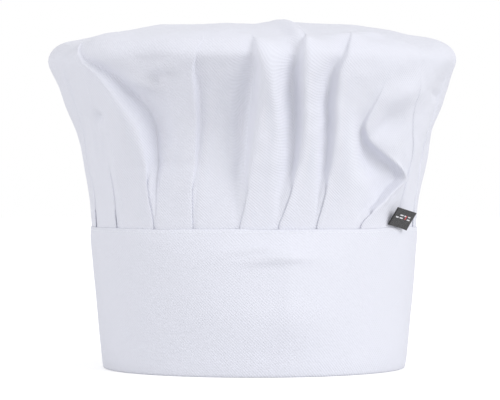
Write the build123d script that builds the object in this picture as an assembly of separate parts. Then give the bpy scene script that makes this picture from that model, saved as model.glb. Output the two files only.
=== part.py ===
"""A chef's toque: a stiffened, folded twill band, a pleated crown, a hook-and-loop closure at the back
and a small woven loop label on the wearer's left.

Frame, in millimetres: origin at the centre of the head opening, on the plane of the band's bottom edge.
+Z is up, -Y is the front of the hat and +X is the wearer's left.
"""

from build123d import *
import math
import os

# ---- Driving dimensions -------------------------------------------------------------------------

head_size = 580.0  # inside circumference of the band, the hat size at which the closure is set
band_height = 86.0
band_bottom_width = 184.0  # outside width, left to right, at the bottom edge
band_top_width = 199.0  # outside width, left to right, at the top edge

cloth = 0.5  # one layer of the band's twill
stiffener_thickness = 1.0
slip = 0.1  # play on each side of what lies inside the folded band
seam_depth = 10.0  # how far the crown's edge reaches down into the band
seam_play = 1.0  # from the stiffener's top edge to the crown's edge

crown_wall = 1.0
crown_width = 244.0
crown_rise = 122.6  # from the band's top edge to the highest point of the crown
shoulder_rise = 24.6  # from the crown's widest level to its highest point
flare_power = 1.6  # above 1, the crown's side flares faster towards its top
shoulder_power = 2.5  # 2 is an ellipse, and more is a squarer shoulder

back_gap = 16.0  # between the band's two ends, at the centre of the back
slit_height = 55.0  # of the vent in the crown above that gap
slit_top_width = 2.0
tab_reach = 72.0  # of the tab past its root, along the band
tab_play = 0.3  # between the tab's root and the band's end, and between the two tapes

tape_thickness = 1.2  # of each hook-and-loop tape
tape_margin = 8.0  # from the band's bottom and top edges to each tape
hook_width = 30.0
hook_inset = 6.0  # from the tab's free end to the hook tape
loop_inset = 5.0  # from the band's free end to the loop tape
loop_margin = 1.0  # from the loop tape's far end to the tab's free end, when closed

thread = 0.3  # how proud a line of stitching stands
thread_width = 0.4
edge_inset = 2.0  # from an edge to the line of stitching beside it

label_width = 17.0
label_height = 12.4
label_leaf = 0.3  # one layer of the folded ribbon
label_fold_gap = 0.3  # between its two leaves
label_bearing = 57.3  # degrees round from the front, towards the wearer's left
label_turn = 8.6  # degrees that its far end is swung out from the band
label_dip = 12.5  # degrees that its far end lies below its near end
label_lean = 30.0  # degrees that its fold leans out from the crown
label_clear = 1.3  # from the band's outer face to the label's middle, at its lower edge

# ---- Sizes worked out from those ----------------------------------------------------------------

slot = stiffener_thickness + 2 * slip  # the room between the band's two layers
band_thickness = 2 * cloth + slot
tapes_together = 2 * tape_thickness + tab_play
tab_step = band_thickness + tapes_together  # how far the tab runs outside the band
seam_level = band_height - seam_depth
widest_level = band_height + crown_rise - shoulder_rise
crown_base_out = cloth + slip + stiffener_thickness  # the crown's outer face where it enters the band


def other_half_axis(half_axis, circumference):
    """The second half axis of the oval that has this one and this circumference."""
    low, high = 0.0, circumference
    for _ in range(60):
        middle = (low + high) / 2
        total = half_axis + middle
        root = math.sqrt((3 * half_axis + middle) * (half_axis + 3 * middle))
        if math.pi * (3 * total - root) < circumference:
            low = middle
        else:
            high = middle
    return low


bottom_half_width = band_bottom_width / 2 - band_thickness
top_half_width = band_top_width / 2 - band_thickness
bottom_half_depth = other_half_axis(bottom_half_width, head_size)
top_half_depth = other_half_axis(top_half_width, head_size)


def band_axes(z, out):
    """Half width and half depth at height z of the oval that lies this far outside the band's inner face."""
    share = z / band_height
    half_width = bottom_half_width + (top_half_width - bottom_half_width) * share
    half_depth = bottom_half_depth + (top_half_depth - bottom_half_depth) * share
    return half_width + out, half_depth + out


crown_base_width, crown_base_depth = band_axes(band_height, crown_base_out)
crown_depth = crown_width * crown_base_depth / crown_base_width  # one shape of oval all the way up

# ---- Band ---------------------------------------------------------------------------------------


def oval_wire(z, half_width, half_depth):
    """An oval drawn as four quarters, so that every one of them starts at the same bearing."""
    quarters = [
        Edge.make_ellipse(half_width, half_depth, start_angle=start, end_angle=start + 90)
        for start in (0, 90, 180, 270)
    ]
    return Pos(0, 0, z) * Wire(quarters)


def oval_block(z_low, z_high, out):
    """The whole space inside the oval at this distance, between two heights."""
    low, high = oval_wire(z_low, *band_axes(z_low, out)), oval_wire(z_high, *band_axes(z_high, out))
    return Part() + Solid.make_loft([low, high], ruled=True)


def band_layer(z_low, z_high, out_low, out_high):
    """A layer that runs all the way round, between two distances from the band's inner face."""
    return oval_block(z_low, z_high, out_high) - oval_block(z_low, z_high, out_low)


def back_wedge(half_width):
    """A slab at the back, this far to each side of the centre, to cut the band's gap with."""
    reach, tall = 2 * crown_depth, 2 * (band_height + crown_rise)
    return Pos(0, reach / 2, 0) * Box(2 * half_width, reach, 2 * tall)


def sector(from_bearing, to_bearing, z_low, z_high):
    """A wedge from the centre line, between two bearings in degrees from the back towards +X."""
    reach = 2 * crown_width
    turns = [math.radians(from_bearing + (to_bearing - from_bearing) * step / 4) for step in range(5)]
    rim = [(reach * math.sin(turn), reach * math.cos(turn)) for turn in turns]
    outline = Polyline((0, 0), *rim, close=True)
    return Pos(0, 0, z_low) * extrude(make_face(outline), z_high - z_low)


def bearing_after(length):
    """Degrees round from the back centre that this length along the band takes."""
    return math.degrees(length / (head_size / (2 * math.pi) + band_thickness))


def make_band_cover():
    """One strip of twill folded along the bottom edge, open upwards for the crown, with its ends closed."""
    strip = band_layer(0, band_height, 0, band_thickness) - back_wedge(back_gap / 2)
    room = band_layer(cloth, band_height + cloth, cloth, cloth + slot) - back_wedge(back_gap / 2 + cloth)
    return strip - room


def make_band_stiffener():
    top = seam_level - seam_play
    layer = band_layer(cloth + slip, top, cloth + slip, cloth + slip + stiffener_thickness)
    return layer - back_wedge(back_gap / 2 + cloth + slip)


def make_band_top_stitching():
    """The line through all layers along the top edge: needle thread outside and bobbin thread inside."""
    low = band_height - edge_inset - thread_width
    high = band_height - edge_inset
    outside = band_layer(low, high, band_thickness, band_thickness + thread)
    inside = band_layer(low, high, -thread, 0)
    gap = back_wedge(back_gap / 2 + edge_inset)
    return Compound([*(outside - gap).solids(), *(inside - gap).solids()])


def make_band_end_stitching():
    """The short line that closes the band's free end, inside the hat."""
    line = band_layer(edge_inset, band_height - 2 * edge_inset - thread_width, -thread, 0)
    near = back_gap / 2 + edge_inset
    return (line - back_wedge(near)) & Pos(near + thread_width / 2, crown_depth / 2, band_height / 2) * Box(
        thread_width, crown_depth, band_height
    )


# ---- Closure ------------------------------------------------------------------------------------

root_bearing = -bearing_after(back_gap / 2)
free_bearing = bearing_after(tab_reach - back_gap / 2)
hook_to = bearing_after(tab_reach - back_gap / 2 - hook_inset)
hook_from = bearing_after(tab_reach - back_gap / 2 - hook_inset - hook_width)
loop_to = bearing_after(tab_reach - back_gap / 2 - loop_margin)
loop_from = bearing_after(back_gap / 2 + loop_inset)
tape_low, tape_high = tape_margin, band_height - tape_margin


def stepped_out(x):
    """How far the tab has left the band's own surface at this x, in an S bend across the gap."""
    run = back_gap - 2
    share = min(max((x + back_gap / 2) / run, 0), 1)
    return tab_step * share * share * (3 - 2 * share)


def tab_curve(z, out, to_bearing):
    """Points along the tab at one height, from its root at the gap to a bearing at its free end."""
    half_width, half_depth = band_axes(z, out)
    start = -math.asin((back_gap / 2 - tab_play) / half_width)
    end, steps = math.radians(to_bearing), 32
    points = []
    for step in range(steps + 1):
        bearing = start + (end - start) * step / steps
        more = stepped_out(half_width * math.sin(bearing))
        points.append(((half_width + more) * math.sin(bearing), (half_depth + more) * math.cos(bearing), z))
    return points


def tab_layer(z_low, z_high, out_low, out_high, to_bearing):
    """A layer of the tab, between two distances from the face that lies towards the head."""
    faces = []
    for z in (z_low, z_high):
        inner, outer = tab_curve(z, out_low, to_bearing), tab_curve(z, out_high, to_bearing)
        edges = [Spline(*inner), Line(inner[-1], outer[-1]), Spline(*outer), Line(outer[0], inner[0])]
        faces.append(make_face(edges))
    return loft(faces, ruled=True)


def make_tab_cover():
    """The band's own strip carried on past its end: a folded tab, closed at its root, its top and its end."""
    block = tab_layer(0, band_height, 0, band_thickness, free_bearing)
    room = tab_layer(0, band_height, cloth, cloth + slot, free_bearing - bearing_after(cloth))
    return block - (room & tab_room(cloth))


def tab_room(inset):
    """Everything past the tab's root and between its bottom and top, less this much at each of the three."""
    root = -back_gap / 2 + tab_play + inset
    tall = band_height - 2 * inset
    return Pos(root + crown_width / 2, crown_depth / 2, band_height / 2) * Box(crown_width, crown_depth, tall)


def make_tab_stiffener():
    inset = cloth + slip
    end = free_bearing - bearing_after(inset)
    return tab_layer(0, band_height, inset, inset + stiffener_thickness, end) & tab_room(inset)


def make_hook_tape():
    layer = tab_layer(0, band_height, -tape_thickness, 0, free_bearing)
    return layer & sector(hook_from, hook_to, tape_low, tape_high)


def make_loop_tape():
    layer = band_layer(0, band_height, band_thickness, band_thickness + tape_thickness)
    return layer & sector(loop_from, loop_to, tape_low, tape_high)


def stitched_frame(layer, from_bearing, to_bearing):
    """A rectangle of stitching in this layer, just inside a tape's edges."""
    side = bearing_after(edge_inset)
    line = bearing_after(thread_width)
    low, high = tape_low + edge_inset, tape_high - edge_inset
    whole = layer & sector(from_bearing + side, to_bearing - side, low, high)
    middle = sector(
        from_bearing + side + line, to_bearing - side - line, low + thread_width, high - thread_width
    )
    return whole - middle


def tab_outer_thread():
    return tab_layer(0, band_height, band_thickness, band_thickness + thread, free_bearing)


def make_hook_tape_stitching():
    return stitched_frame(tab_outer_thread(), hook_from, hook_to)


def make_loop_tape_stitching():
    return stitched_frame(band_layer(0, band_height, -thread, 0), loop_from, loop_to)


def make_tab_edge_stitching():
    """The line round the tab's bottom, free end and top, on its outer face."""
    far = free_bearing - bearing_after(edge_inset)
    near = far - bearing_after(thread_width)
    low, high = edge_inset, band_height - edge_inset
    below = tab_outer_thread() & sector(-90, near, low, low + thread_width)
    above = tab_outer_thread() & sector(-90, near, high - thread_width, high)
    end = tab_outer_thread() & sector(near, far, low, high)
    return below + end + above


# ---- Crown --------------------------------------------------------------------------------------

def crown_outline(inset):
    """Half of the crown's outline, this far inside its outer face, from the band out and up to its top."""
    base, widest = crown_base_width - inset, crown_width / 2 - inset
    side = []
    for share in (0, 0.2, 0.4, 0.6, 0.8):
        side.append((base + (widest - base) * share**flare_power, share * (widest_level - band_height)))
    shoulder = []
    for turn in range(0, 91, 10):
        across = math.cos(math.radians(turn)) ** (2 / shoulder_power)
        upward = math.sin(math.radians(turn)) ** (2 / shoulder_power)
        shoulder.append((widest * across, widest_level - band_height + (shoulder_rise - inset) * upward))
    shoulder[-1] = (0, shoulder[-1][1])
    return Spline(*side, *shoulder, tangents=[(0, 1), (-1, 0)])


def crown_block(inset):
    """The whole space inside the crown's surface, or inside one this far within it."""
    outline = crown_outline(inset)
    top, base = outline @ 1, outline @ 0
    section = make_face([outline, Line(top, (0, 0)), Line((0, 0), base)])
    round_crown = Pos(0, 0, band_height) * revolve(Plane.XZ * section, Axis.Z)
    return scale(round_crown, by=(1, (crown_base_depth - inset) / (crown_base_width - inset), 1))


def slit_wedge(half_bottom, half_top, height):
    """A tapered slab through the crown's back, from below its edge to this far above the band."""
    low = seam_level - seam_play
    outline = Polyline(
        (-half_bottom, low),
        (half_bottom, low),
        (half_bottom, band_height),
        (half_top, band_height + height),
        (-half_top, band_height + height),
        (-half_bottom, band_height),
        close=True,
    )
    return extrude(Plane.XZ * make_face(outline), -crown_depth)


slit_half_bottom = back_gap / 2 + cloth + slip


def make_crown():
    """One round of twill pleated into the band and closed over the top, with a vent slit at the back."""
    shell = crown_block(0) - crown_block(crown_wall)
    edge = band_layer(seam_level, band_height, cloth + slip, crown_base_out)
    return (shell + edge) - slit_wedge(slit_half_bottom, slit_top_width / 2, slit_height)


def make_slit_stitching():
    """The hem line beside each edge of the vent, and the bar tack across its top, outside the crown."""
    skin = crown_block(-thread) - crown_block(0)
    hem_inset = 3.0
    outer = slit_wedge(slit_half_bottom + hem_inset + thread_width, slit_top_width / 2 + hem_inset, slit_height)
    inner = slit_wedge(slit_half_bottom + hem_inset, slit_top_width / 2 + hem_inset - thread_width, slit_height)
    above = Pos(0, crown_depth / 2, 0) * Box(crown_width, crown_depth, 2 * (band_height + edge_inset))
    hems = skin & (outer - inner) - above
    tack_half_width, tack_height = slit_top_width / 2 + hem_inset, 2.0
    tack = skin & Pos(0, crown_depth / 2, band_height + slit_height + tack_height / 2) * Box(
        2 * tack_half_width, crown_depth, tack_height
    )
    return Compound([*hems.solids(), *tack.solids()])


# ---- Label --------------------------------------------------------------------------------------


def label_plane():
    """Origin at the middle of the label's lower edge, x along that edge, y up to its fold, z outwards."""
    bearing = math.radians(label_bearing)
    half_width, half_depth = band_axes(band_height, band_thickness + label_clear)
    origin = Vector(half_width * math.sin(bearing), -half_depth * math.cos(bearing), band_height)
    up = Vector(0, 0, 1)
    beside = Vector(half_width * math.cos(bearing), half_depth * math.sin(bearing), 0).normalized()
    level = beside.rotate(Axis.Z, -label_turn)
    dip, lean = math.radians(label_dip), math.radians(label_lean)
    along = level * math.cos(dip) - up * math.sin(dip)
    outward = level.cross(up)
    facing = outward * math.cos(lean) - outward.cross(along) * math.sin(lean)
    return Plane(origin, x_dir=along, z_dir=facing)


def make_woven_label():
    """A ribbon folded in half, with its fold at the top and its two ends together at the seam."""
    thickness = 2 * label_leaf + label_fold_gap
    whole = Pos(0, label_height / 2, 0) * Box(label_width, label_height, thickness)
    long_edges = whole.edges().filter_by(Axis.X).sort_by(Axis.Y)[-2:]
    whole = fillet(long_edges, 0.45 * thickness)
    inside = Pos(0, (label_height - label_leaf) / 2, 0) * Box(
        label_width, label_height - label_leaf, label_fold_gap
    )
    return label_plane() * (whole - inside)


# ---- Files and facts ----------------------------------------------------------------------------

makers = {
    "band_cover": make_band_cover,
    "band_stiffener": make_band_stiffener,
    "band_top_stitching": make_band_top_stitching,
    "band_end_stitching": make_band_end_stitching,
    "crown": make_crown,
    "slit_stitching": make_slit_stitching,
    "loop_tape": make_loop_tape,
    "loop_tape_stitching": make_loop_tape_stitching,
    "tab_cover": make_tab_cover,
    "tab_stiffener": make_tab_stiffener,
    "tab_edge_stitching": make_tab_edge_stitching,
    "hook_tape": make_hook_tape,
    "hook_tape_stitching": make_hook_tape_stitching,
    "woven_label": make_woven_label,
}

os.makedirs("parts", exist_ok=True)
for node, maker in makers.items():
    export_step(maker(), f"parts/{node}.step")

# The hinge lines, printed for whoever writes the record.
for z in (0, band_height):
    half_width, half_depth = band_axes(z, band_thickness)
    x = -back_gap / 2
    print("tab hinge line", round(x, 3), round(half_depth * math.sqrt(1 - (x / half_width) ** 2), 3), z)
edge = label_plane()
print("label hinge", tuple(round(v, 3) for v in edge.origin), tuple(round(v, 5) for v in edge.x_dir))
print("half axes, bottom and top", bottom_half_width, bottom_half_depth, top_half_width, top_half_depth)
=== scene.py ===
"""The looks of a chef's toque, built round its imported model.

Metres; +Z up, -Y the front, +X the wearer's left. Sizes are written in millimetres and scaled by MM.
"""

import math

import bpy
import numpy as np
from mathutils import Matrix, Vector


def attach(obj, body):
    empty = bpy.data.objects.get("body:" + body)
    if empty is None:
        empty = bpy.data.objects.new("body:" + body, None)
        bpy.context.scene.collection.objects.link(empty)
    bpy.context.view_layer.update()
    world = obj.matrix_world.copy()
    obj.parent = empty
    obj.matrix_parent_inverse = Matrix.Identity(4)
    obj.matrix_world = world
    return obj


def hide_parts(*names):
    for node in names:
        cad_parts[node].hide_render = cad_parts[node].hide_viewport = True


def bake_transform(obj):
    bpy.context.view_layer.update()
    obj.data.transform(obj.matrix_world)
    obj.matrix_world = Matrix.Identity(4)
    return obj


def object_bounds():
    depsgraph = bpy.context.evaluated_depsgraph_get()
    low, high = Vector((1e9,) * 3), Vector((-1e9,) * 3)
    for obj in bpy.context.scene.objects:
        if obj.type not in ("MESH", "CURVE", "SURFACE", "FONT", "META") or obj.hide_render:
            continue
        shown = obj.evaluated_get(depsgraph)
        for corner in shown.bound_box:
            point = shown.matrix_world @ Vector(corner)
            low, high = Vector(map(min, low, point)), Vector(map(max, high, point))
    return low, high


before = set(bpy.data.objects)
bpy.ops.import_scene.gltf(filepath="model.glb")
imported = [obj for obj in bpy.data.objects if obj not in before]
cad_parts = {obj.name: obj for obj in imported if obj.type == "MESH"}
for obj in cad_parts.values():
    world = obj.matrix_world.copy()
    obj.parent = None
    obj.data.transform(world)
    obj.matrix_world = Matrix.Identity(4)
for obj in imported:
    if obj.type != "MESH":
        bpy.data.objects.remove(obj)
cad_low, cad_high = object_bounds()
MM = 0.001

# ---- Sizes, in millimetres, as the part has them --------------------------------------------------

HEAD = 580.0  # round the head opening
BAND = 86.0  # the band's height
BAND_T = 2.2  # the band's thickness, both layers of cloth and the stiffener
BAND_R = 97.0  # the band's mean radius, by which turns become lengths
CLOTH = 0.5
GAP = 16.0  # between the band's ends, at the back
ROOT_X = -14.0  # where the tab grows out of the band
TAB_STEP = 4.9  # how far out of the band the tab lies
TAB_REACH = 72.0
TAB_END = TAB_REACH - GAP / 2
TAPE_LOW, TAPE_HIGH = 8.0, BAND - 8.0
HOOK_FROM, HOOK_TO = TAB_END - 36.0, TAB_END - 6.0
LOOP_FROM, LOOP_TO = GAP / 2 + 5.0, TAB_END - 1.0
INSET = 2.2  # from an edge to the line of sewing beside it
SEWN_TOP = BAND - INSET
TOP = cad_high.z / MM
WIDE = cad_high.x / MM
WIDEST_LEVEL = TOP - 24.6
FLARE, SHOULDER = 1.6, 0.8  # the powers that bend the crown's side out and round its shoulder
SEAM_LOW = 77.0  # the crown's sewn edge, inside the band
SEAM_OUT = 1.6  # from the band's inner face to the crown's cloth
SLIT_TOP = BAND + 55.0
SLIT_HALF = (GAP / 2 + 0.6, 1.0)  # half the vent's width at the band and at its top


def other_half_axis(half, around):
    """The second half axis of an oval with this half axis and this length round it."""
    low, high = 0.0, around
    for _ in range(60):
        mid = (low + high) / 2
        if math.pi * (3 * (half + mid) - math.sqrt((3 * half + mid) * (half + 3 * mid))) < around:
            low = mid
        else:
            high = mid
    return low


BOTTOM_A, TOP_A = 92.0 - BAND_T, 99.5 - BAND_T
BOTTOM_B, TOP_B = other_half_axis(BOTTOM_A, HEAD), other_half_axis(TOP_A, HEAD)


def band_axes(z, out):
    """The band's two half axes at this height, this far out of its inner face."""
    share = np.asarray(z, float) / BAND
    return BOTTOM_A + (TOP_A - BOTTOM_A) * share + out, BOTTOM_B + (TOP_B - BOTTOM_B) * share + out


BASE_A, BASE_B = band_axes(BAND, SEAM_OUT)
OVAL = BASE_B / BASE_A


def degrees_for(length):
    """Degrees round the band that this length takes."""
    return math.degrees(length / (HEAD / (2 * math.pi) + BAND_T))


def turn_at(x):
    """Degrees from the back's middle to where the band passes this x."""
    return math.degrees(math.asin(x / BAND_R))


# ---- Small helpers --------------------------------------------------------------------------------


def smooth(x, low, high):
    """0 below the low value, 1 above the high one, with an eased rise between."""
    t = np.clip((np.asarray(x, float) - low) / (high - low), 0, 1)
    return t * t * (3 - 2 * t)


def hump(x, middle, width):
    """A bell of height 1."""
    return np.exp(-(((x - middle) / width) ** 2))


def lengths_along(points):
    """The distance travelled along a line at each of its points."""
    return np.concatenate([[0], np.cumsum(np.linalg.norm(np.diff(points, axis=0), axis=1))])


def unit(vectors):
    """These vectors at length 1."""
    return vectors / np.linalg.norm(vectors, axis=-1, keepdims=True)


def curve_through(xs, ys):
    """A smooth curve through these points that never overshoots them."""
    xs, ys = np.asarray(xs, float), np.asarray(ys, float)
    h, slope = np.diff(xs), np.diff(ys) / np.diff(xs)
    m = np.zeros_like(ys)
    for i in range(1, len(xs) - 1):
        if slope[i - 1] * slope[i] > 0:
            w1, w2 = 2 * h[i] + h[i - 1], h[i] + 2 * h[i - 1]
            m[i] = (w1 + w2) / (w1 / slope[i - 1] + w2 / slope[i])
    m[0], m[-1] = slope[0], slope[-1]

    def at(x):
        x = np.clip(np.asarray(x, float), xs[0], xs[-1])
        i = np.clip(np.searchsorted(xs, x, side="right") - 1, 0, len(xs) - 2)
        t = (x - xs[i]) / h[i]
        a, b = (1 + 2 * t) * (1 - t) ** 2, t * (1 - t) ** 2
        c, d = t * t * (3 - 2 * t), t * t * (t - 1)
        return a * ys[i] + b * h[i] * m[i] + c * ys[i + 1] + d * h[i] * m[i + 1]

    return at


def waves(count, longest, shortest, seed):
    """A gentle random height over a surface, about -1 to 1, from this many sine waves."""
    draw = np.random.default_rng(seed)
    turn = draw.uniform(0, 2 * math.pi, count)
    size = np.exp(draw.uniform(math.log(shortest), math.log(longest), count))
    phase = draw.uniform(0, 2 * math.pi, count)
    lift = np.sqrt(size / longest)

    def at(x, y):
        total = 0
        for a, s, p, w in zip(turn, size, phase, lift):
            total = total + w * np.sin((x * math.cos(a) + y * math.sin(a)) * 2 * math.pi / s + p)
        return total / math.sqrt(count)

    return at


def add_mesh(name, verts, faces, uv, mat):
    """A mesh object from points in millimetres, with its flat cloth coordinates, in metres, as a UV map."""
    mesh = bpy.data.meshes.new(name)
    mesh.from_pydata((np.asarray(verts, float) * MM).tolist(), [], [list(map(int, f)) for f in faces])
    mesh.validate()
    if uv is not None:
        layer = mesh.uv_layers.new(name="flat")
        index = np.zeros(len(mesh.loops), np.int32)
        mesh.loops.foreach_get("vertex_index", index)
        layer.data.foreach_set("uv", (np.asarray(uv, float)[index] * MM).astype(np.float32).ravel())
    mesh.polygons.foreach_set("use_smooth", [True] * len(mesh.polygons))
    mesh.materials.append(mat)
    obj = bpy.data.objects.new(name, mesh)
    bpy.context.scene.collection.objects.link(obj)
    return obj


def grid_faces(rows, cols, wrap=False):
    """Quads over a grid of points stored row by row."""
    i, j = np.meshgrid(np.arange(rows - 1), np.arange(cols if wrap else cols - 1), indexing="ij")
    k = (j + 1) % cols
    return np.stack([i * cols + j, i * cols + k, (i + 1) * cols + k, (i + 1) * cols + j], -1).reshape(-1, 4)


def thicken(obj, thickness):
    """Gives a sheet its thickness, half to each side and rim included, and applies it."""
    solid = obj.modifiers.new("thick", "SOLIDIFY")
    solid.thickness = thickness * MM
    solid.offset = 0.0
    solid.use_even_offset = False
    graph = bpy.context.evaluated_depsgraph_get()
    mesh = bpy.data.meshes.new_from_object(obj.evaluated_get(graph), depsgraph=graph)
    obj.modifiers.clear()
    obj.data = mesh


# ---- Materials ------------------------------------------------------------------------------------


def new_material(name):
    """An empty material, with its nodes, its links and its shader."""
    mat = bpy.data.materials.new(name)
    mat.use_nodes = True
    nodes, links = mat.node_tree.nodes, mat.node_tree.links
    return mat, nodes, links, nodes["Principled BSDF"]


def node(nodes, kind, **values):
    """A new node with these values on its sockets or, where it has no such socket, on itself."""
    made = nodes.new(kind)
    for key, value in values.items():
        if key in made.inputs:
            made.inputs[key].default_value = value
        else:
            setattr(made, key, value)
    return made


def math_node(nodes, links, operation, *inputs):
    """The output of a new Math node, fed with numbers or with other outputs."""
    made = nodes.new("ShaderNodeMath")
    made.operation = operation
    for k, value in enumerate(inputs):
        if isinstance(value, (int, float)):
            made.inputs[k].default_value = value
        else:
            links.new(value, made.inputs[k])
    return made.outputs[0]


def along(nodes, links, source, direction, pitch):
    """The sine, -1 to 1, of how far a point lies along this direction, repeating at this pitch in metres."""
    turn = 2 * math.pi / pitch
    dot = node(nodes, "ShaderNodeVectorMath", operation="DOT_PRODUCT")
    links.new(source, dot.inputs[0])
    dot.inputs[1].default_value = (direction[0] * turn, direction[1] * turn, 0)
    return math_node(nodes, links, "SINE", dot.outputs["Value"])


def twill(name, tone, rib_pitch=1.35, rib_angle=-45.0, rib_height=0.06, mottle=0.03):
    """Poly-cotton twill: a diagonal rib, the yarns across it, slubs and a very slight unevenness of tone."""
    mat, nodes, links, shader = new_material(name)
    flat = node(nodes, "ShaderNodeUVMap", uv_map="flat")
    wander = node(nodes, "ShaderNodeTexNoise", Scale=60.0, Detail=2.0)
    links.new(flat.outputs[0], wander.inputs["Vector"])
    push = node(nodes, "ShaderNodeVectorMath", operation="MULTIPLY_ADD")
    links.new(wander.outputs["Color"], push.inputs[0])
    push.inputs[1].default_value = (0.0006, 0.0006, 0)
    links.new(flat.outputs[0], push.inputs[2])
    a = math.radians(rib_angle)
    across = (-math.sin(a), math.cos(a))
    rib = along(nodes, links, push.outputs[0], across, rib_pitch * MM)
    yarn = along(nodes, links, push.outputs[0], (1, 0), 0.45 * MM)
    slub = node(nodes, "ShaderNodeTexNoise", Scale=1500.0, Detail=1.0)
    links.new(push.outputs[0], slub.inputs["Vector"])
    high = math_node(nodes, links, "MULTIPLY_ADD", yarn, 0.25, rib)
    high = math_node(nodes, links, "MULTIPLY_ADD", slub.outputs["Fac"], 0.15, high)
    bump = node(nodes, "ShaderNodeBump", Strength=1.0, Distance=rib_height * MM)
    links.new(high, bump.inputs["Height"])
    links.new(bump.outputs["Normal"], shader.inputs["Normal"])
    patch = node(nodes, "ShaderNodeTexNoise", Scale=14.0, Detail=3.0)
    links.new(flat.outputs[0], patch.inputs["Vector"])
    value = math_node(nodes, links, "MULTIPLY_ADD", patch.outputs["Fac"], mottle, 1 - 0.75 * mottle)
    value = math_node(nodes, links, "MULTIPLY_ADD", rib, 0.018, value)
    colour = node(nodes, "ShaderNodeMix", data_type="RGBA", blend_type="MULTIPLY")
    colour.inputs["Factor"].default_value = 1.0
    colour.inputs["A"].default_value = (*tone, 1)
    grey = node(nodes, "ShaderNodeCombineColor")
    for k in range(3):
        links.new(value, grey.inputs[k])
    links.new(grey.outputs[0], colour.inputs["B"])
    links.new(colour.outputs["Result"], shader.inputs["Base Color"])
    shader.inputs["Roughness"].default_value = 0.85
    shader.inputs["Specular IOR Level"].default_value = 0.25
    shader.inputs["Sheen Weight"].default_value = 0.15
    shader.inputs["Sheen Roughness"].default_value = 0.5
    return mat


def fibre(name, tone, scale, height, roughness=0.9, pits=0.5):
    """A surface of tangled fibres, such as felted stiffener or the base of a tape."""
    mat, nodes, links, shader = new_material(name)
    place = node(nodes, "ShaderNodeTexCoord")
    noise = node(nodes, "ShaderNodeTexNoise", Scale=scale, Detail=6.0, Roughness=0.7)
    links.new(place.outputs["Object"], noise.inputs["Vector"])
    bump = node(nodes, "ShaderNodeBump", Strength=1.0, Distance=height * MM)
    links.new(noise.outputs["Fac"], bump.inputs["Height"])
    links.new(bump.outputs["Normal"], shader.inputs["Normal"])
    ramp = node(nodes, "ShaderNodeValToRGB")
    ramp.color_ramp.elements[0].color = (*[c * pits for c in tone], 1)
    ramp.color_ramp.elements[1].color = (*tone, 1)
    ramp.color_ramp.elements[0].position, ramp.color_ramp.elements[1].position = 0.25, 0.6
    links.new(noise.outputs["Fac"], ramp.inputs["Fac"])
    links.new(ramp.outputs["Color"], shader.inputs["Base Color"])
    shader.inputs["Roughness"].default_value = roughness
    shader.inputs["Specular IOR Level"].default_value = 0.3
    return mat


WHITE = (0.715, 0.725, 0.80)
crown_twill = twill("crown_twill", WHITE)
band_twill = twill("band_twill", WHITE)
thread_mat = fibre("thread", (0.86, 0.88, 0.93), 2500, 0.03, 0.55, 0.85)
stiff_mat = fibre("stiffener", (0.84, 0.84, 0.82), 900, 0.08, 0.95, 0.8)

# ---- Crown ----------------------------------------------------------------------------------------


def crown_profile():
    """Points up the crown's outside, (half width, height), from inside the band to the middle of its top."""
    z = np.arange(SEAM_LOW, BAND, 1.0)
    rows = [(float(band_axes(v, SEAM_OUT)[0]), float(v)) for v in z]
    for v in np.linspace(BAND, WIDEST_LEVEL, 80)[:-6]:
        share = (v - BAND) / (WIDEST_LEVEL - BAND)
        rows.append((BASE_A + (WIDE - BASE_A) * share**FLARE, v))
    for turn in np.linspace(0, math.pi / 2, 90):
        rise = (TOP - WIDEST_LEVEL) * math.sin(turn) ** SHOULDER
        rows.append((WIDE * math.cos(turn) ** SHOULDER, WIDEST_LEVEL + rise))
    points = np.array(rows)
    for _ in range(6):
        points[1:-1] = 0.25 * points[:-2] + 0.5 * points[1:-1] + 0.25 * points[2:]
    points[-1, 0] = 0
    return points


profile = crown_profile()
profile_s = lengths_along(profile)
REACH = profile_s[-1]
tangent = unit(np.gradient(profile, profile_s, axis=0))
profile_n = np.column_stack([tangent[:, 1], -tangent[:, 0]])
S_WIDE = float(np.interp(WIDEST_LEVEL, profile[:, 1], profile_s))


def on_profile(s):
    """Half width, height and outward normal at this distance along the cloth from its sewn edge."""
    a, z = np.interp(s, profile_s, profile[:, 0]), np.interp(s, profile_s, profile[:, 1])
    na, nz = np.interp(s, profile_s, profile_n[:, 0]), np.interp(s, profile_s, profile_n[:, 1])
    return a, z, na, nz


def level_of(s):
    """Height on the side, and past the shoulder the distance travelled on over the top."""
    _, z, _, _ = on_profile(s)
    return np.where(s < S_WIDE, z, WIDEST_LEVEL + (s - S_WIDE))


LEVELS = (77, 86, 97, 108, 126, 143, 160, 176, 190, 206, 235)  # where each pleat's values below hold
FLAT = (0,) * len(LEVELS)


class Pleat:
    """A fold in the crown, at each level: where its edge runs, and the cloth round it.

    front   +1 where the cloth on the edge's right lies in front, -1 where the cloth on its left does
    turn    degrees round from the front's middle to its edge
    tuck    how far the cloth that it hides runs in behind it, in millimetres
    valley  how far the cloth dips just behind its edge, below the panel there
    ridge   how far its edge stands above the panel in front
    shore   how wide the valley is
    soft    how rounded its corners are
    panel   how far the panel after it stands out of the crown's plain shape
    """

    def __init__(self, front, turn, tuck, valley, ridge, shore, soft, panel=FLAT, levels=LEVELS):
        self.front = front
        self.turn = curve_through(levels, turn)
        self.tuck = curve_through(LEVELS, tuck)
        self.valley = curve_through(LEVELS, valley)
        self.ridge = curve_through(LEVELS, ridge)
        self.shore = curve_through(LEVELS, shore)
        self.soft = soft
        self.panel = curve_through(LEVELS, panel)


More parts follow.
